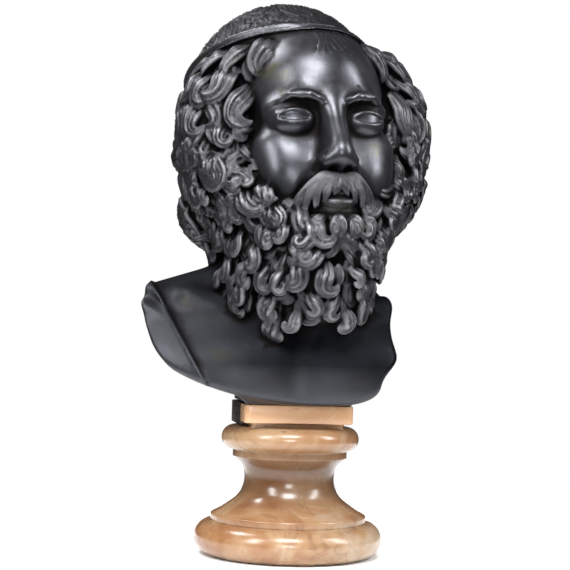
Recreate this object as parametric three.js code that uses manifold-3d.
// Bronze bust of a bearded elder with a headband, on a turned marble socle.
// Millimetres, +Z up. The origin is the centre of the socle's underside and the front faces -Y.
import * as THREE from 'three';
import { mergeVertices } from 'three/addons/utils/BufferGeometryUtils.js';
import Module from 'manifold-3d';

const wasm = await Module();
wasm.setup();

// Turned socle, as radius and height
const FOOT_TORUS = { centre: 69, section: 15 };
const LOWER_FILLET = { radius: 69.5, top: 35.5 };
const SCOTIA = [[61, 40], [47.5, 50], [41.6, 59], [40, 69], [42.2, 79], [50, 86.6]];
const UPPER_FILLET = { radius: 51, top: 91.6 };
const UPPER_TORUS = { centre: 51, section: 10.5, middle: 103.6 };
const TURNED_TOP = 114.1;
const TURN_SIDES = 32;
const TURN_STEPS = { foot: 6, scotia: 8, torus: 5, corner: 3 };

// Tablet on the socle and the block behind it
const TABLET = { width: 96, depth: 34, front: -46, bottom: 118.5, top: 134.5, corner: 5 };
const COVE = { width: 82, front: -38, corner: 3, overlap: 1 };
const BLOCK = { width: 94, back: 50, bottom: 114.4, top: 134.4, corner: 2 };
const JOINT_GAP = 0.3;

// Placing of the head and the chest
const HEAD_CENTRE = [6, 15, 372];
const HEAD_TURN = 7;
const HEAD_TILT = -7;
const HEAD_ROLL = -1.5;
const CHEST_CENTRE = [0, 0, 0];
const CHEST_TURN = -6;

// Skull as ellipsoids, with the reach over which each blends into the last
const SKULL = [
  { centre: [0, 14, 34], radii: [74, 97, 86], blend: 1 },
  { centre: [0, -26, -38], radii: [57, 62, 78], blend: 24 },
  { centre: [0, -34, 34], radii: [56, 60, 50], blend: 20 },
];

// One side of the face
const CHEEK = { centre: [45, -58, -20], radii: [18, 16, 12], blend: 22 };
const LOWER_CHEEK = { centre: [33, -60, -46], radii: [24, 22, 26], blend: 22 };
const BROW = { points: [[8, -90, 13], [28, -88, 20], [52, -68, 13]], widths: [6.5, 8, 6], blend: 12 };
const EYE_SOCKET = { centre: [31, -97, -0.5], radii: [18, 16, 11.5], blend: 8 };
const EYE = { centre: [31.5, -75.5, 0], radii: [16, 13.6, 13], blend: 2 };
const UPPER_LID = { points: [[18, -86, 4.5], [31, -89, 8], [45, -80, 3]], widths: [2.4, 2.8, 2.2], blend: 3 };
const LOWER_LID = { points: [[19, -85, -5], [31, -87.5, -8], [44, -80, -3]], widths: [2, 2.2, 2], blend: 4 };
const NOSTRIL_WING = { centre: [11.2, -100, -41.5], radii: [7, 10.5, 7.5], blend: 5 };

// Middle of the face
const NOSE_BODY = { points: [[0, -84, 8], [0, -90, -16], [0, -92, -36]], widths: [9, 11, 12.5], blend: 8 };
const NOSE = { points: [[0, -89, 12], [0, -100.5, -14], [0, -108.5, -36]], widths: [7, 7.6, 9.2], blend: 9 };
const MOUTH = { centre: [0, -82, -66], radii: [29, 16, 21], blend: 12 };
const UPPER_LIP = { points: [[-21, -88, -70], [0, -98, -67], [21, -88, -70]], widths: [3, 4.6, 3], blend: 5 };
const LOWER_LIP = { points: [[-17, -89, -76], [0, -98, -77], [17, -89, -76]], widths: [4, 5.6, 4], blend: 5 };
const CHIN = { centre: [0, -80, -100], radii: [26, 20, 17], blend: 12 };

// Neck, shoulders and breast
const NECK = { points: [[-2, 18, -60], [-4, 10, -170]], widths: [60, 62], blend: 14 };
const RIBCAGE = { centre: [0, 8, 150], radii: [186, 72, 84], blend: 26 };
const LEFT_SHOULDER = { points: [[-30, 34, 236], [-142, 12, 205]], widths: [34, 28], blend: 24 };
const RIGHT_SHOULDER = { points: [[34, 34, 218], [100, 18, 182]], widths: [30, 27], blend: 24 };
const COLLARBONE = { points: [[14, -44, 206], [92, -14, 226]], widths: [6, 8], blend: 16 };
const BREAST = { centre: [46, -32, 160], radii: [50, 30, 36], blend: 24 };
const NECK_CORD = { points: [[58, 30, -80], [14, -46, -168]], widths: [13, 11], blend: 14 };
const THROAT_NOTCH = { centre: [3, -66, 203], radii: [13, 14, 16], blend: 16 };
const BREASTBONE = { points: [[3, -76, 186], [3, -80, 146]], widths: [7, 7], blend: 18 };

// Cloth over one shoulder, with a slanting hem and shallow folds
const HEM = { x: -110, height: 211, slant: 0.57, thick: 3.2, soft: 3, reach: 12 };
const FOLDS = { deep: 1.6, height: 226, spread: 16, lean: 0.6, turn: 0.32 };
const CLOTH_LOW = [-160, -110, 120];
const CLOTH_HIGH = [-40, 130, 300];

// Rim of the cut chest, seen from the front
const RIM = { middle: 20, left: 173, right: 69, high: 222, low: 135 };
const RIM_POWER = { left: 2, right: 2.9 };
const RIM_BACK = { from: -50, rise: 0.42, narrow: 0.0024 };
const RIM_WAVE = { deep: 2.2, pitch: 33, from: 210 };
const SEAT = { halfWidth: 45, front: -44, back: 49, high: 175 };
const SEAT_BLEND = 16;
const RIM_ROUNDING = 3;
const CHEST_TOP = 320;

// Outer shape of hair and beard, as heights from eye level and reaches from the head's axis
const HAIR_SIDE = [[-184, 40], [-168, 50], [-140, 60], [-112, 66], [-96, 72], [-82, 82], [-62, 99],
  [-40, 107], [-10, 112], [10, 113], [30, 110], [50, 103], [70, 88], [90, 72]];
const HAIR_FRONT = [[-190, 66], [-170, 86], [-140, 100], [-110, 106], [-85, 103], [-62, 92],
  [-45, 76], [-25, 64], [0, 62], [50, 66], [75, 72], [90, 70]];
const HAIR_BACK = [[-190, 40], [-140, 62], [-110, 92], [-85, 114], [-60, 123], [-30, 128],
  [0, 133], [40, 138], [60, 137], [75, 132], [90, 122]];

// How much fuller hair and beard are on each side of the turned head
const HAIR_FULLER = [[-184, 0.84], [-140, 0.88], [-110, 0.95], [-85, 1], [-60, 1], [-30, 1.03], [10, 1.07],
  [40, 1.045], [75, 1]];
const HAIR_FULLER_LEFT = [[-184, 1.42], [-150, 1.38], [-120, 1.26], [-95, 1.1], [-75, 1], [75, 1]];

// Line where hair and beard begin, as degrees from the face's middle and height
const HAIR_LINE = [[0, -97], [12, -95], [22, -80], [29, -64], [33, -45], [35, -20], [37, 10], [40, 50],
  [43, 78]];
const HAIR_INSET = 6.5;
const HAIR_TOP = 72;
const BEARD_END = -170;
const HAIR_BLEND = 8;
const HAIR_MARGIN = 10;
const HAIR_MIDDLE = [0, 0, -60];
const HAIR_EDGE = { front: 0.9, side: 0.3, from: 30 };
const NAPE = { centre: [-4, 45, -58], radii: [109, 75, 57], blend: 10 };

// Locks in rows, in millimetres and degrees
const LOCK_FLATNESS = 0.85;
const LOCK_STEPS = 9;
const LOCK_BLEND = 2;
const LOCK_ROOT = -5;
const LOCK_DROP = 2.5;
const LOCK_TAPER = 0.55;
const SIDE_LOCKS = { rows: 5, columns: 7, top: 62, drop: 25, first: 44, apart: 15, length: 50, width: 7.2,
  bend: 2.6, hook: -2.4, stagger: 0.47 };
const BACK_LOCKS = { rows: 6, reach: 2, top: 60, drop: 27, apart: 15, length: 52, width: 8,
  bend: 2.2, hook: -2, stagger: 0.47 };
const BEARD_LOCKS = { rows: 9, top: -28, drop: 16, reach: 92, apart: 14.5, length: 33, width: 5,
  bend: 2.8, hook: -3.4, stagger: 0.5 };
const MOUSTACHE = { strands: 4, inner: 3, apart: 4.5, widths: [3.4, 3.8, 3.4, 1.8], blend: 2 };

// Close-fitting hair above the band, with a small rise at the crown, and the band round it
const CAP = { centre: [-10, 30, 38], radii: [90, 109, 95], bottom: 77, step: 2.5, edge: 4, blend: 3 };
const CROWN_RISE = { centre: [-6, 24, 131], radii: [14, 14, 5], blend: 6 };
const BAND = { height: 76, half: 3.6, proud: 2.8, slope: 0.18, edge: 1.5, blend: 1 };

// Grid and mesh
const GRID_STEP = 3.2;
const FIELD_REACH = 30;
const BUST_LOW = [-165, -150, 125];
const BUST_HIGH = [150, 178, 508];
const BUST_TRIANGLES = 7800;
const EDGE_MARGIN = 0.06;
const MERGE_REACH = 1e-3;

// Limits on collapsing an edge: how far off its new point may be, in edge lengths, the smallest
// triangle left and how little it may turn, and what its length costs
const COLLAPSE = { off: 1.5, smallest: 0.02, turn: 0.25, length: 1e-4 };

const DEGREE = Math.PI / 180;
const mirrored = [-1, 1];

// Repeatable scatter between -1 and 1
function scatter(seed) {
  const value = Math.sin(seed * 12.9898) * 43758.5453;
  return 2 * (value - Math.floor(value)) - 1;
}

function mix(a, b, t) {
  return a + (b - a) * t;
}

function smoothMin(a, b, blend) {
  const h = Math.max(blend - Math.abs(a - b), 0) / blend;
  return Math.min(a, b) - h * h * blend * 0.25;
}

function smoothMax(a, b, blend) {
  return -smoothMin(-a, -b, blend);
}

// Smooth curve through a list of [position, value]
function curveAt(keys, position) {
  const last = keys.length - 1;
  if (position <= keys[0][0]) return keys[0][1];
  if (position >= keys[last][0]) return keys[last][1];
  let i = 0;
  while (keys[i + 1][0] < position) i += 1;
  const [x0, y0] = keys[i];
  const [x1, y1] = keys[i + 1];
  const [xa, ya] = keys[Math.max(i - 1, 0)];
  const [xb, yb] = keys[Math.min(i + 2, last)];
  const span = x1 - x0;
  const t = (position - x0) / span;
  const slope0 = (y1 - ya) / (x1 - xa) * span;
  const slope1 = (yb - y0) / (xb - x0) * span;
  const t2 = t * t;
  const t3 = t2 * t;
  return (2 * t3 - 3 * t2 + 1) * y0 + (t3 - 2 * t2 + t) * slope0
    + (3 * t2 - 2 * t3) * y1 + (t3 - t2) * slope1;
}

// A turned and tilted set of axes with its own centre
class Frame {
  constructor(centre, turn, tilt = 0, roll = 0) {
    this.centre = centre;
    const order = new THREE.Euler(tilt * DEGREE, roll * DEGREE, turn * DEGREE, 'ZXY');
    const m = new THREE.Matrix4().makeRotationFromEuler(order).elements;
    this.axes = [[m[0], m[1], m[2]], [m[4], m[5], m[6]], [m[8], m[9], m[10]]];
  }

  outer(p) {
    const [a, b, c] = this.axes;
    return this.centre.map((v, i) => v + a[i] * p[0] + b[i] * p[1] + c[i] * p[2]);
  }

  outerDirection(d) {
    const [a, b, c] = this.axes;
    return [0, 1, 2].map((i) => a[i] * d[0] + b[i] * d[1] + c[i] * d[2]);
  }

  inner(x, y, z) {
    const dx = x - this.centre[0];
    const dy = y - this.centre[1];
    const dz = z - this.centre[2];
    return this.axes.map((a) => a[0] * dx + a[1] * dy + a[2] * dz);
  }
}

const head = new Frame(HEAD_CENTRE, HEAD_TURN, HEAD_TILT, HEAD_ROLL);
const chest = new Frame(CHEST_CENTRE, CHEST_TURN);

// Distances on a regular grid, negative inside the form
class Field {
  constructor(low, high, step) {
    this.low = low;
    this.step = step;
    this.count = low.map((v, i) => Math.ceil((high[i] - v) / step) + 1);
    const [nx, ny, nz] = this.count;
    this.values = new Float32Array(nx * ny * nz).fill(FIELD_REACH);
  }

  change(low, high, rule) {
    const [nx, ny, nz] = this.count;
    const first = low.map((v, i) => Math.max(0, Math.floor((v - this.low[i]) / this.step)));
    const last = high.map((v, i) => Math.min(this.count[i] - 1,
      Math.ceil((v - this.low[i]) / this.step)));
    for (let k = first[2]; k <= last[2]; k += 1) {
      const z = this.low[2] + k * this.step;
      for (let j = first[1]; j <= last[1]; j += 1) {
        const y = this.low[1] + j * this.step;
        for (let i = first[0]; i <= last[0]; i += 1) {
          const at = (k * ny + j) * nx + i;
          this.values[at] = rule(this.low[0] + i * this.step, y, z, this.values[at]);
        }
      }
    }
  }

  add(shape, blend) {
    this.blendIn(shape, blend, (old, d) => smoothMin(old, d, blend));
  }

  cut(shape, blend) {
    this.blendIn(shape, blend, (old, d) => smoothMax(old, -d, blend));
  }

  blendIn(shape, blend, rule) {
    const margin = blend + 2 * this.step;
    const low = shape.low.map((v) => v - margin);
    const high = shape.high.map((v) => v + margin);
    this.change(low, high, (x, y, z, old) => rule(old, shape.distance(x, y, z)));
  }
}

function ellipsoid(frame, centre, radii) {
  const middle = frame.outer(centre);
  const reach = Math.max(...radii);
  return {
    low: middle.map((v) => v - reach),
    high: middle.map((v) => v + reach),
    distance(x, y, z) {
      const p = frame.inner(x, y, z);
      let near = 0;
      let slope = 0;
      for (let i = 0; i < 3; i += 1) {
        const q = (p[i] - centre[i]) / radii[i];
        near += q * q;
        slope += (q / radii[i]) ** 2;
      }
      near = Math.sqrt(near);
      return near * (near - 1) / Math.max(Math.sqrt(slope), 1e-6);
    },
  };
}

// How far along a segment a point lies, from 0 to 1, and what is left to the side of it
function besideSegment(a, b, x, y, z) {
  const ux = b[0] - a[0];
  const uy = b[1] - a[1];
  const uz = b[2] - a[2];
  const px = x - a[0];
  const py = y - a[1];
  const pz = z - a[2];
  const along = (px * ux + py * uy + pz * uz) / (ux * ux + uy * uy + uz * uz);
  const t = Math.min(1, Math.max(0, along));
  return [t, px - t * ux, py - t * uy, pz - t * uz];
}

// A rod through points, with its own half width at each, flattened along its outward directions
function sweptRod(frame, { points, widths, outs }, flatness) {
  const middles = points.map((p) => frame.outer(p));
  const ways = outs.map((d) => frame.outerDirection(d));
  const reach = Math.max(...widths) * 1.1;
  return {
    low: [0, 1, 2].map((i) => Math.min(...middles.map((p) => p[i])) - reach),
    high: [0, 1, 2].map((i) => Math.max(...middles.map((p) => p[i])) + reach),
    distance(x, y, z) {
      let best = Infinity;
      for (let i = 0; i + 1 < middles.length; i += 1) {
        const [t, rx, ry, rz] = besideSegment(middles[i], middles[i + 1], x, y, z);
        const n = ways[i];
        const high = (rx * n[0] + ry * n[1] + rz * n[2]) * (1 / flatness - 1);
        const round = Math.hypot(rx + n[0] * high, ry + n[1] * high, rz + n[2] * high);
        best = Math.min(best, round - mix(widths[i], widths[i + 1], t));
      }
      return best * flatness;
    },
  };
}

function rod(frame, points, widths) {
  return sweptRod(frame, { points, widths, outs: points.map(() => [0, -1, 0]) }, 1);
}

function mirroredPoint(side, [x, y, z]) {
  return [side * x, y, z];
}

function addEllipsoid(field, frame, { centre, radii, blend }, side = 1) {
  field.add(ellipsoid(frame, mirroredPoint(side, centre), radii), blend);
}

function cutEllipsoid(field, frame, { centre, radii, blend }, side = 1) {
  field.cut(ellipsoid(frame, mirroredPoint(side, centre), radii), blend);
}

function addRod(field, frame, { points, widths, blend }, side = 1) {
  field.add(rod(frame, points.map((p) => mirroredPoint(side, p)), widths), blend);
}

function cutRod(field, frame, { points, widths, blend }) {
  field.cut(rod(frame, points, widths), blend);
}

// Skull, face, neck and chest
function addSkull(field) {
  for (const form of SKULL) addEllipsoid(field, head, form);
}

function addFace(field) {
  for (const side of mirrored) {
    addEllipsoid(field, head, CHEEK, side);
    addEllipsoid(field, head, LOWER_CHEEK, side);
    addRod(field, head, BROW, side);
    cutEllipsoid(field, head, EYE_SOCKET, side);
    addEllipsoid(field, head, EYE, side);
    addRod(field, head, UPPER_LID, side);
    addRod(field, head, LOWER_LID, side);
    addEllipsoid(field, head, NOSTRIL_WING, side);
  }
  addRod(field, head, NOSE_BODY);
  addRod(field, head, NOSE);
  addEllipsoid(field, head, MOUTH);
  addEllipsoid(field, head, CHIN);
  addRod(field, head, UPPER_LIP);
  addRod(field, head, LOWER_LIP);
}

function addNeckAndChest(field) {
  addRod(field, head, NECK);
  addEllipsoid(field, chest, RIBCAGE);
  addRod(field, chest, LEFT_SHOULDER);
  addRod(field, chest, RIGHT_SHOULDER);
  for (const side of mirrored) {
    addRod(field, chest, COLLARBONE, side);
    addEllipsoid(field, chest, BREAST, side);
    addRod(field, head, NECK_CORD, side);
  }
  cutEllipsoid(field, chest, THROAT_NOTCH);
  cutRod(field, chest, BREASTBONE);
}

// The cloth is a layer that ends in its hem
function addDrapery(field) {
  field.change(CLOTH_LOW, CLOTH_HIGH, (x, y, z, old) => {
    if (Math.abs(old) > HEM.reach) return old;
    const p = chest.inner(x, y, z);
    const beyond = HEM.x + (HEM.height - z) * HEM.slant - p[0];
    const cover = 1 / (1 + Math.exp(-beyond / HEM.soft * 2));
    const near = Math.exp(-(((z - FOLDS.height) / FOLDS.spread) ** 2));
    const folds = FOLDS.deep * Math.cos((p[0] * FOLDS.lean + z) * FOLDS.turn) * near;
    return old - cover * (HEM.thick + folds);
  });
}

function rimDistance(x, z) {
  const isLeft = x < RIM.middle;
  const reach = isLeft ? RIM.left : RIM.right;
  const power = isLeft ? RIM_POWER.left : RIM_POWER.right;
  const u = Math.abs(x - RIM.middle) / reach;
  const v = Math.max(RIM.high - z, 0) / (RIM.high - RIM.low);
  const radius = (u ** power + v ** power) ** (1 / power);
  const slope = Math.hypot(u ** (power - 1) / reach, v ** (power - 1) / (RIM.high - RIM.low))
    / Math.max(radius, 1e-3) ** (power - 1);
  const wave = isLeft ? 0 : RIM_WAVE.deep * Math.cos((z - RIM_WAVE.from) * 2 * Math.PI / RIM_WAVE.pitch);
  return (radius - 1) / Math.max(slope, 1e-4) - wave;
}

// The cut rises and narrows towards the back, round a flat seat that stands on the socle
function cutRim(field) {
  field.change(BUST_LOW, [BUST_HIGH[0], BUST_HIGH[1], CHEST_TOP], (x, y, z, old) => {
    const p = chest.inner(x, y, z);
    const back = Math.max(p[1] - RIM_BACK.from, 0);
    const wide = RIM.middle + (p[0] - RIM.middle) * (1 + RIM_BACK.narrow * back);
    const rim = rimDistance(wide, z - RIM_BACK.rise * back);
    const seat = Math.max(Math.abs(x) - SEAT.halfWidth, SEAT.front - y, y - SEAT.back, z - SEAT.high);
    const beyond = Math.max(smoothMin(rim, seat, SEAT_BLEND), RIM.low - z);
    return smoothMax(old, beyond, RIM_ROUNDING);
  });
}

// Hair and beard
function sideReach(height, x) {
  return curveAt(HAIR_SIDE, height) * curveAt(x > 0 ? HAIR_FULLER : HAIR_FULLER_LEFT, height);
}

function hairPoint(angle, height) {
  const side = sideReach(height, Math.sin(angle));
  const depth = curveAt(Math.cos(angle) > 0 ? HAIR_FRONT : HAIR_BACK, height);
  return [side * Math.sin(angle), -depth * Math.cos(angle), height];
}

function hairAxes(angle, height) {
  const eps = 0.02;
  const rise = 1.5;
  const a = hairPoint(angle - eps, height);
  const b = hairPoint(angle + eps, height);
  const c = hairPoint(angle, height - rise);
  const d = hairPoint(angle, height + rise);
  const around = b.map((v, i) => (v - a[i]) / (2 * eps));
  const up = d.map((v, i) => (v - c[i]) / (2 * rise));
  const out = new THREE.Vector3(...around).cross(new THREE.Vector3(...up)).normalize();
  return { around: Math.hypot(...around), up: Math.hypot(...up), out: [out.x, out.y, out.z] };
}

// A lock of hair that grows over the outer shape, bending as it goes
function growLock({ angle, height, heading, length, bend, hook, width, lift }) {
  const steps = LOCK_STEPS;
  const points = [];
  const outs = [];
  const widths = [];
  let theta = angle;
  let z = height;
  let way = heading;
  for (let i = 0; i <= steps; i += 1) {
    const s = i / steps;
    const axes = hairAxes(theta, z);
    const rise = mix(LOCK_ROOT, lift, Math.min(1, s * 2.5)) - LOCK_DROP * s * s;
    points.push(hairPoint(theta, z).map((v, j) => v + axes.out[j] * rise));
    outs.push(axes.out);
    const swell = 0.72 + 0.5 * Math.sin(Math.PI * Math.min(1, s * 1.25));
    widths.push(width * swell * (1 - LOCK_TAPER * s ** 3));
    way += (bend * Math.cos(Math.PI * s * 1.5) + hook * s * s) / steps;
    theta += Math.sin(way) * length / steps / axes.around;
    z -= Math.cos(way) * length / steps / axes.up;
  }
  return { points, outs, widths };
}

function sideLocks(side) {
  const locks = [];
  for (let row = 0; row < SIDE_LOCKS.rows; row += 1) {
    for (let column = 0; column < SIDE_LOCKS.columns; column += 1) {
      const seed = row * 31 + column * 7 + (side > 0 ? 500 : 0);
      const along = column + (row % 2) * SIDE_LOCKS.stagger;
      const degrees = SIDE_LOCKS.first + along * SIDE_LOCKS.apart + 3 * scatter(seed);
      const bendWay = (row + column) % 2 ? 1 : -1;
      locks.push({
        angle: side * degrees * DEGREE,
        height: SIDE_LOCKS.top - row * SIDE_LOCKS.drop + 3 * scatter(seed + 1),
        heading: side * (0.5 + 0.35 * scatter(seed + 2)),
        length: SIDE_LOCKS.length + 6 * scatter(seed + 3),
        bend: side * bendWay * SIDE_LOCKS.bend,
        hook: side * bendWay * SIDE_LOCKS.hook,
        width: SIDE_LOCKS.width + 0.8 * scatter(seed + 4),
        lift: 0.5 + 2 * scatter(seed + 5),
      });
    }
  }
  return locks;
}

function backLocks() {
  const locks = [];
  for (let row = 0; row < BACK_LOCKS.rows; row += 1) {
    for (let column = -BACK_LOCKS.reach; column <= BACK_LOCKS.reach; column += 1) {
      const seed = 900 + row * 17 + column * 5;
      const bendWay = (row + column) % 2 ? 1 : -1;
      locks.push({
        angle: Math.PI + (column + (row % 2) * BACK_LOCKS.stagger) * BACK_LOCKS.apart * DEGREE,
        height: BACK_LOCKS.top - row * BACK_LOCKS.drop + 4 * scatter(seed),
        heading: 0.3 * scatter(seed + 1),
        length: BACK_LOCKS.length,
        bend: bendWay * BACK_LOCKS.bend,
        hook: bendWay * BACK_LOCKS.hook,
        width: BACK_LOCKS.width,
        lift: 0,
      });
    }
  }
  return locks;
}

function beardLocks() {
  const locks = [];
  for (let row = 0; row < BEARD_LOCKS.rows; row += 1) {
    const height = BEARD_LOCKS.top - row * BEARD_LOCKS.drop;
    const around = Math.PI * (sideReach(height, -1) + sideReach(height, 1)) / 2;
    const columns = Math.round(around / BEARD_LOCKS.apart);
    for (let column = 0; column < columns; column += 1) {
      const seed = 2000 + row * 57 + column * 3;
      const place = (column + 0.5 + (row % 2) * BEARD_LOCKS.stagger) / columns * 2 - 1;
      const degrees = place * BEARD_LOCKS.reach + 2.5 * scatter(seed);
      const top = height + 4 * scatter(seed + 1);
      const beyond = Math.abs(degrees) > BEARD_LOCKS.reach;
      if (beyond || top > curveAt(HAIR_LINE, Math.abs(degrees))) continue;
      const bendWay = scatter(seed + 2) > 0 ? 1 : -1;
      locks.push({
        angle: degrees * DEGREE,
        height: top,
        heading: 0.35 * Math.sign(degrees) + 0.5 * scatter(seed + 3),
        length: BEARD_LOCKS.length + 5 * scatter(seed + 4),
        bend: bendWay * BEARD_LOCKS.bend,
        hook: bendWay * BEARD_LOCKS.hook,
        width: BEARD_LOCKS.width + 0.6 * scatter(seed + 5),
        lift: 1 + 2 * scatter(seed + 6),
      });
    }
  }
  return locks;
}

// The mass under the locks, within the outer shape and outside the face
function addHairMass(field) {
  const reach = 1.25 * (Math.max(...HAIR_BACK.map(([, depth]) => depth)) + HAIR_MARGIN);
  const middle = head.outer(HAIR_MIDDLE);
  const low = middle.map((v) => v - reach);
  const high = middle.map((v) => v + reach);
  field.change(low, high, (x, y, z, old) => {
    const p = head.inner(x, y, z);
    const side = sideReach(p[2], p[0]);
    const depth = curveAt(p[1] < 0 ? HAIR_FRONT : HAIR_BACK, p[2]);
    const u = p[0] / side;
    const v = p[1] / depth;
    const around = Math.hypot(u, v);
    const slope = Math.hypot(u / side, v / depth) / Math.max(around, 1e-3);
    const shell = (around - 1) / Math.max(slope, 1e-3) + HAIR_INSET;
    const degrees = Math.abs(Math.atan2(u, -v)) / DEGREE;
    const steep = degrees < HAIR_EDGE.from ? HAIR_EDGE.front : HAIR_EDGE.side;
    const line = (p[2] - curveAt(HAIR_LINE, degrees)) * steep;
    const ends = Math.max(p[2] - HAIR_TOP, BEARD_END - p[2]);
    const mass = smoothMax(smoothMax(shell, line, HAIR_BLEND), ends, HAIR_BLEND);
    return smoothMin(old, mass, HAIR_BLEND);
  });
}

function addHair(field) {
  addHairMass(field);
  addEllipsoid(field, head, NAPE);
  const locks = [...sideLocks(-1), ...sideLocks(1), ...backLocks(), ...beardLocks()];
  for (const lock of locks) field.add(sweptRod(head, growLock(lock), LOCK_FLATNESS), LOCK_BLEND);
}

function addMoustache(field) {
  const { strands, inner, apart, widths, blend } = MOUSTACHE;
  for (const side of mirrored) {
    for (let i = 0; i < strands; i += 1) {
      const start = inner + i * apart;
      const points = [[start, -106 + i * 2, -56 - i * 0.5], [start + 11, -103 + i * 2.4, -62 - i * 1.5],
        [start + 17, -97 + i * 3, -75], [start + 17, -93 + i * 3, -88]];
      addRod(field, head, { points, widths, blend }, side);
    }
  }
}

function addCap(field) {
  const cap = ellipsoid(head, CAP.centre, CAP.radii);
  field.change(cap.low, cap.high, (x, y, z, old) => {
    const p = head.inner(x, y, z);
    const below = CAP.bottom - p[1] * BAND.slope - p[2];
    return smoothMin(old, smoothMax(cap.distance(x, y, z), below, CAP.edge), CAP.blend);
  });
  field.add(ellipsoid(head, CAP.centre, CAP.radii.map((r) => r - CAP.step)), CAP.edge);
  addEllipsoid(field, head, CROWN_RISE);
}

// The band lies in a ring round the head that drops towards the back
function addBand(field) {
  const reach = Math.max(...CAP.radii) + HAIR_MARGIN;
  const middle = head.outer(CAP.centre);
  field.change(middle.map((v) => v - reach), middle.map((v) => v + reach), (x, y, z, old) => {
    const p = head.inner(x, y, z);
    const across = Math.abs(p[2] - BAND.height + p[1] * BAND.slope) - BAND.half;
    return smoothMin(old, smoothMax(old - BAND.proud, across, BAND.edge), BAND.blend);
  });
}

// Triangles where the field changes sign, from six tetrahedra in each cell
const TETRAHEDRA = [[0, 1, 3, 7], [0, 3, 2, 7], [0, 2, 6, 7], [0, 6, 4, 7], [0, 4, 5, 7], [0, 5, 1, 7]];

function cornerOf(index) {
  return [index & 1, (index >> 1) & 1, (index >> 2) & 1];
}

function tetrahedronTurn([a, b, c, d]) {
  const from = cornerOf(a);
  const [u, v, w] = [b, c, d].map((n) => new THREE.Vector3(...cornerOf(n).map((q, i) => q - from[i])));
  return Math.sign(u.dot(v.cross(w)));
}

function orderTurn(order) {
  let swaps = 0;
  for (let i = 0; i < 4; i += 1) {
    for (let j = i + 1; j < 4; j += 1) if (order[i] > order[j]) swaps += 1;
  }
  return swaps % 2 ? -1 : 1;
}

function surfaceOf(field) {
  const [nx, ny, nz] = field.count;
  const positions = [];
  const triangles = [];
  const made = new Map();
  const total = nx * ny * nz;
  const offsets = [...Array(8).keys()].map((n) => {
    const [i, j, k] = cornerOf(n);
    return (k * ny + j) * nx + i;
  });
  const turns = TETRAHEDRA.map(tetrahedronTurn);

  function place(at) {
    const i = at % nx;
    const j = Math.floor(at / nx) % ny;
    const k = Math.floor(at / (nx * ny));
    return [i, j, k].map((v, axis) => field.low[axis] + v * field.step);
  }

  function vertex(a, b) {
    const first = Math.min(a, b);
    const second = Math.max(a, b);
    const key = first * total + second;
    const known = made.get(key);
    if (known !== undefined) return known;
    const va = field.values[first];
    const vb = field.values[second];
    const t = Math.min(1 - EDGE_MARGIN, Math.max(EDGE_MARGIN, va / (va - vb)));
    const pa = place(first);
    const pb = place(second);
    positions.push(pa.map((v, i) => mix(v, pb[i], t)));
    made.set(key, positions.length - 1);
    return positions.length - 1;
  }

  function addTriangle(a, b, c, turn) {
    triangles.push(turn > 0 ? [a, b, c] : [a, c, b]);
  }

  for (let k = 0; k + 1 < nz; k += 1) {
    for (let j = 0; j + 1 < ny; j += 1) {
      for (let i = 0; i + 1 < nx; i += 1) {
        const at = (k * ny + j) * nx + i;
        let inside = 0;
        for (const offset of offsets) if (field.values[at + offset] < 0) inside += 1;
        if (inside === 0 || inside === 8) continue;
        TETRAHEDRA.forEach((corners, n) => {
          const ids = corners.map((c) => at + offsets[c]);
          const within = [0, 1, 2, 3].filter((c) => field.values[ids[c]] < 0);
          const beyond = [0, 1, 2, 3].filter((c) => field.values[ids[c]] >= 0);
          if (within.length === 0 || beyond.length === 0) return;
          const order = [...within, ...beyond];
          const turn = turns[n] * orderTurn(order);
          const [a, b, c, d] = order.map((q) => ids[q]);
          if (within.length === 1) {
            addTriangle(vertex(a, b), vertex(a, c), vertex(a, d), turn);
          } else if (within.length === 3) {
            addTriangle(vertex(d, a), vertex(d, b), vertex(d, c), turn);
          } else {
            const [ac, ad, bd, bc] = [vertex(a, c), vertex(a, d), vertex(b, d), vertex(b, c)];
            addTriangle(ac, ad, bd, turn);
            addTriangle(ac, bd, bc, turn);
          }
        });
      }
    }
  }
  return { positions, triangles };
}

// The largest connected part of a surface
function largestPart({ positions, triangles }) {
  const parent = positions.map((_, i) => i);
  const rootOf = (i) => {
    let at = i;
    while (parent[at] !== at) {
      parent[at] = parent[parent[at]];
      at = parent[at];
    }
    return at;
  };
  for (const [a, b, c] of triangles) {
    parent[rootOf(a)] = rootOf(b);
    parent[rootOf(b)] = rootOf(c);
  }
  const sizes = new Map();
  for (const t of triangles) sizes.set(rootOf(t[0]), (sizes.get(rootOf(t[0])) ?? 0) + 1);
  const [largest] = [...sizes.entries()].sort((a, b) => b[1] - a[1])[0];
  return { positions, triangles: triangles.filter((t) => rootOf(t[0]) === largest) };
}

// Sum of squared distances to the planes of a vertex's triangles, as ten numbers
function planeSquares(p, q, r) {
  const u = [q[0] - p[0], q[1] - p[1], q[2] - p[2]];
  const v = [r[0] - p[0], r[1] - p[1], r[2] - p[2]];
  const n = [u[1] * v[2] - u[2] * v[1], u[2] * v[0] - u[0] * v[2], u[0] * v[1] - u[1] * v[0]];
  const length = Math.hypot(...n) || 1;
  const [a, b, c] = n.map((x) => x / length);
  const d = -(a * p[0] + b * p[1] + c * p[2]);
  const weight = length * 0.5;
  return [a * a, a * b, a * c, a * d, b * b, b * c, b * d, c * c, c * d, d * d].map((x) => x * weight);
}

function squaresAt(s, [x, y, z]) {
  return s[0] * x * x + 2 * s[1] * x * y + 2 * s[2] * x * z + 2 * s[3] * x + s[4] * y * y
    + 2 * s[5] * y * z + 2 * s[6] * y + s[7] * z * z + 2 * s[8] * z + s[9];
}

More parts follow.
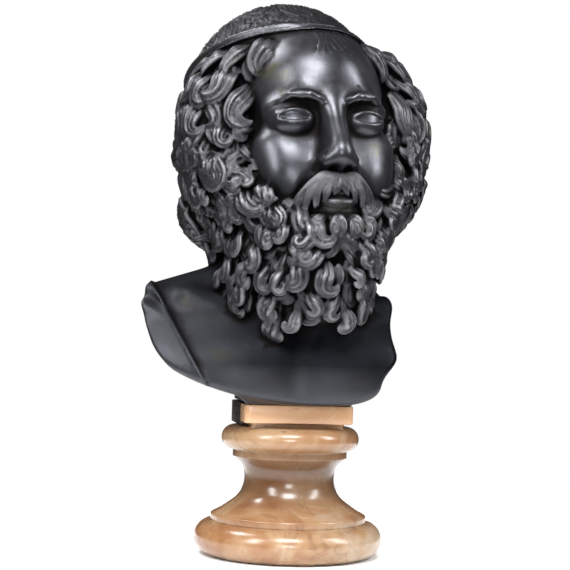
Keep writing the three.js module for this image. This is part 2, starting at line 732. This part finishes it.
function lowestPoint(s) {
  const m = [[s[0], s[1], s[2]], [s[1], s[4], s[5]], [s[2], s[5], s[7]]];
  const det = (c0, c1, c2) => c0[0] * (c1[1] * c2[2] - c1[2] * c2[1])
    - c0[1] * (c1[0] * c2[2] - c1[2] * c2[0]) + c0[2] * (c1[0] * c2[1] - c1[1] * c2[0]);
  const whole = det(...m);
  const scale = (s[0] + s[4] + s[7]) / 3;
  if (Math.abs(whole) < 1e-3 * scale ** 3) return null;
  const right = [-s[3], -s[6], -s[8]];
  return [0, 1, 2].map((i) => det(...m.map((row, j) => (j === i ? right : row))) / whole);
}

// A heap with the cheapest collapse on top
class Heap {
  constructor() {
    this.items = [];
  }

  push(item) {
    const { items } = this;
    let at = items.push(item) - 1;
    while (at > 0) {
      const up = (at - 1) >> 1;
      if (items[up].cost <= item.cost) break;
      items[at] = items[up];
      at = up;
    }
    items[at] = item;
  }

  pop() {
    const { items } = this;
    const top = items[0];
    const item = items.pop();
    const size = items.length;
    let at = 0;
    while (size > 0) {
      let down = 2 * at + 1;
      if (down >= size) break;
      if (down + 1 < size && items[down + 1].cost < items[down].cost) down += 1;
      if (items[down].cost >= item.cost) break;
      items[at] = items[down];
      at = down;
    }
    if (size > 0) items[at] = item;
    return top;
  }
}

function normalOf(p, q, r) {
  const ux = q[0] - p[0];
  const uy = q[1] - p[1];
  const uz = q[2] - p[2];
  const vx = r[0] - p[0];
  const vy = r[1] - p[1];
  const vz = r[2] - p[2];
  return [uy * vz - uz * vy, uz * vx - ux * vz, ux * vy - uy * vx];
}

// Collapse the cheapest edges until few enough triangles are left
function simplified({ positions, triangles }, wanted) {
  const squares = positions.map(() => new Array(10).fill(0));
  const around = positions.map(() => new Set());
  const stamps = new Uint32Array(positions.length);
  const alive = new Uint8Array(triangles.length).fill(1);
  triangles.forEach((t, n) => {
    const own = planeSquares(...t.map((i) => positions[i]));
    for (const i of t) {
      around[i].add(n);
      for (let c = 0; c < 10; c += 1) squares[i][c] += own[c];
    }
  });
  const heap = new Heap();

  function neighbours(i) {
    const found = new Set();
    for (const n of around[i]) for (const v of triangles[n]) if (v !== i) found.add(v);
    return found;
  }

  function offer(a, b) {
    const sum = squares[a].map((v, i) => v + squares[b][i]);
    const middle = positions[a].map((v, i) => (v + positions[b][i]) / 2);
    const length = Math.hypot(...positions[a].map((v, i) => v - positions[b][i]));
    let best = lowestPoint(sum);
    if (!best || Math.hypot(...best.map((v, i) => v - middle[i])) > COLLAPSE.off * length) {
      const choices = [middle, positions[a], positions[b]];
      best = choices.sort((p, q) => squaresAt(sum, p) - squaresAt(sum, q))[0];
    }
    const cost = Math.max(squaresAt(sum, best), 0) + COLLAPSE.length * length * length;
    heap.push({ cost, a, b, best, stampA: stamps[a], stampB: stamps[b] });
  }

  function keepsShape(i, other, point) {
    for (const n of around[i]) {
      const t = triangles[n];
      if (t.includes(other)) continue;
      const old = normalOf(...t.map((v) => positions[v]));
      const next = normalOf(...t.map((v) => (v === i ? point : positions[v])));
      const dot = old[0] * next[0] + old[1] * next[1] + old[2] * next[2];
      const oldSize = Math.hypot(...old);
      const nextSize = Math.hypot(...next);
      const turned = dot < COLLAPSE.turn * oldSize * nextSize;
      if (nextSize < COLLAPSE.smallest || turned) return false;
    }
    return true;
  }

  triangles.forEach(([a, b, c]) => {
    if (a < b) offer(a, b);
    if (b < c) offer(b, c);
    if (c < a) offer(c, a);
  });
  let left = triangles.length;
  while (left > wanted && heap.items.length) {
    const { a, b, best, stampA, stampB } = heap.pop();
    if (stamps[a] !== stampA || stamps[b] !== stampB) continue;
    const nearA = neighbours(a);
    const nearB = neighbours(b);
    let shared = 0;
    for (const v of nearA) if (nearB.has(v)) shared += 1;
    if (shared !== 2 || !keepsShape(a, b, best) || !keepsShape(b, a, best)) continue;
    for (const n of [...around[b]]) {
      const t = triangles[n];
      if (t.includes(a)) {
        for (const v of t) around[v].delete(n);
        alive[n] = 0;
        left -= 1;
      } else {
        t[t.indexOf(b)] = a;
        around[a].add(n);
      }
    }
    around[b].clear();
    positions[a] = best;
    for (let c = 0; c < 10; c += 1) squares[a][c] += squares[b][c];
    stamps[a] += 1;
    stamps[b] += 1;
    for (const v of neighbours(a)) offer(a, v);
  }
  return { positions, triangles: triangles.filter((_, n) => alive[n]) };
}

function geometryOf({ positions, triangles }) {
  const numbers = new Map();
  const flat = [];
  const index = triangles.flat().map((i) => {
    if (!numbers.has(i)) {
      numbers.set(i, numbers.size);
      flat.push(...positions[i]);
    }
    return numbers.get(i);
  });
  const geometry = new THREE.BufferGeometry();
  geometry.setAttribute('position', new THREE.Float32BufferAttribute(flat, 3));
  geometry.setIndex(index);
  geometry.computeVertexNormals();
  return geometry;
}

function bustGeometry() {
  const field = new Field(BUST_LOW, BUST_HIGH, GRID_STEP);
  addSkull(field);
  addFace(field);
  addNeckAndChest(field);
  addDrapery(field);
  cutRim(field);
  addCap(field);
  addBand(field);
  addHair(field);
  addMoustache(field);
  return geometryOf(simplified(largestPart(surfaceOf(field)), BUST_TRIANGLES));
}

// Marble socle: a turned foot, a cove and the tablet
function arcPoints(centreRadius, centreHeight, section, from, to, steps) {
  return [...Array(steps + 1).keys()].map((n) => {
    const angle = mix(from, to, n / steps) * DEGREE;
    return new THREE.Vector2(centreRadius + section * Math.cos(angle),
      centreHeight + section * Math.sin(angle));
  });
}

function turnedProfile() {
  const foot = FOOT_TORUS;
  const torus = UPPER_TORUS;
  const curve = new THREE.CatmullRomCurve3(SCOTIA.map(([radius, height]) => (
    new THREE.Vector3(radius, height, 0))));
  const scotia = curve.getPoints(TURN_STEPS.scotia).map((p) => new THREE.Vector2(p.x, p.y));
  return [
    new THREE.Vector2(0, 0),
    ...arcPoints(foot.centre, foot.section, foot.section, -90, 90, TURN_STEPS.foot),
    new THREE.Vector2(LOWER_FILLET.radius, 2 * foot.section),
    new THREE.Vector2(LOWER_FILLET.radius, LOWER_FILLET.top),
    ...scotia,
    new THREE.Vector2(UPPER_FILLET.radius, scotia.at(-1).y),
    new THREE.Vector2(UPPER_FILLET.radius, UPPER_FILLET.top),
    ...arcPoints(torus.centre, torus.middle, torus.section, -90, 90, TURN_STEPS.torus),
    new THREE.Vector2(0, TURNED_TOP),
  ];
}

// A closed three.js geometry as a solid that can be joined
function solidOf(geometry) {
  const plain = geometry.index ? geometry : geometry.clone();
  plain.deleteAttribute('normal');
  plain.deleteAttribute('uv');
  const merged = mergeVertices(plain, MERGE_REACH);
  return new wasm.Manifold(new wasm.Mesh({
    numProp: 3,
    vertProperties: merged.attributes.position.array,
    triVerts: Uint32Array.from(merged.index.array),
  }));
}

function solidGeometry(solid) {
  const mesh = solid.getMesh();
  const geometry = new THREE.BufferGeometry();
  geometry.setAttribute('position', new THREE.BufferAttribute(mesh.vertProperties, 3));
  geometry.setIndex(new THREE.BufferAttribute(mesh.triVerts, 1));
  geometry.computeVertexNormals();
  return geometry;
}

function roundedSlab({ width, front, back, bottom, top, corner }) {
  const half = width / 2;
  const shape = new THREE.Shape();
  shape.moveTo(-half + corner, front);
  shape.lineTo(half - corner, front);
  shape.absarc(half - corner, front + corner, corner, -Math.PI / 2, 0);
  shape.lineTo(half, back - corner);
  shape.absarc(half - corner, back - corner, corner, 0, Math.PI / 2);
  shape.lineTo(-half + corner, back);
  shape.absarc(-half + corner, back - corner, corner, Math.PI / 2, Math.PI);
  shape.lineTo(-half, front + corner);
  shape.absarc(-half + corner, front + corner, corner, Math.PI, Math.PI * 1.5);
  const slab = new THREE.ExtrudeGeometry(shape, {
    depth: top - bottom, bevelEnabled: false, curveSegments: TURN_STEPS.corner,
  });
  slab.translate(0, 0, bottom);
  return slab;
}

function socleGeometry() {
  const turned = new THREE.LatheGeometry(turnedProfile(), TURN_SIDES);
  turned.rotateX(Math.PI / 2);
  const back = TABLET.front + TABLET.depth;
  const tablet = roundedSlab({ ...TABLET, back });
  const cove = roundedSlab({
    ...COVE,
    back: back - COVE.overlap,
    bottom: TURNED_TOP - COVE.overlap,
    top: TABLET.bottom + COVE.overlap,
  });
  return solidGeometry(solidOf(turned).add(solidOf(cove)).add(solidOf(tablet)));
}

function blockGeometry() {
  const front = TABLET.front + TABLET.depth + JOINT_GAP;
  return roundedSlab({ ...BLOCK, front });
}

const bronze = new THREE.MeshStandardMaterial({ color: 0x24252a, roughness: 0.38, metalness: 0.9 });
const marble = new THREE.MeshStandardMaterial({ color: 0xd9a878, roughness: 0.25, metalness: 0 });
const darkStone = new THREE.MeshStandardMaterial({ color: 0x17130f, roughness: 0.45, metalness: 0 });

const bustOnSocle = new THREE.Group();

function addPiece(name, geometry, material) {
  const mesh = new THREE.Mesh(geometry, material);
  mesh.name = name;
  bustOnSocle.add(mesh);
}

addPiece('bust', bustGeometry(), bronze);
addPiece('socle', socleGeometry(), marble);
addPiece('support_block', blockGeometry(), darkStone);

export default bustOnSocle;
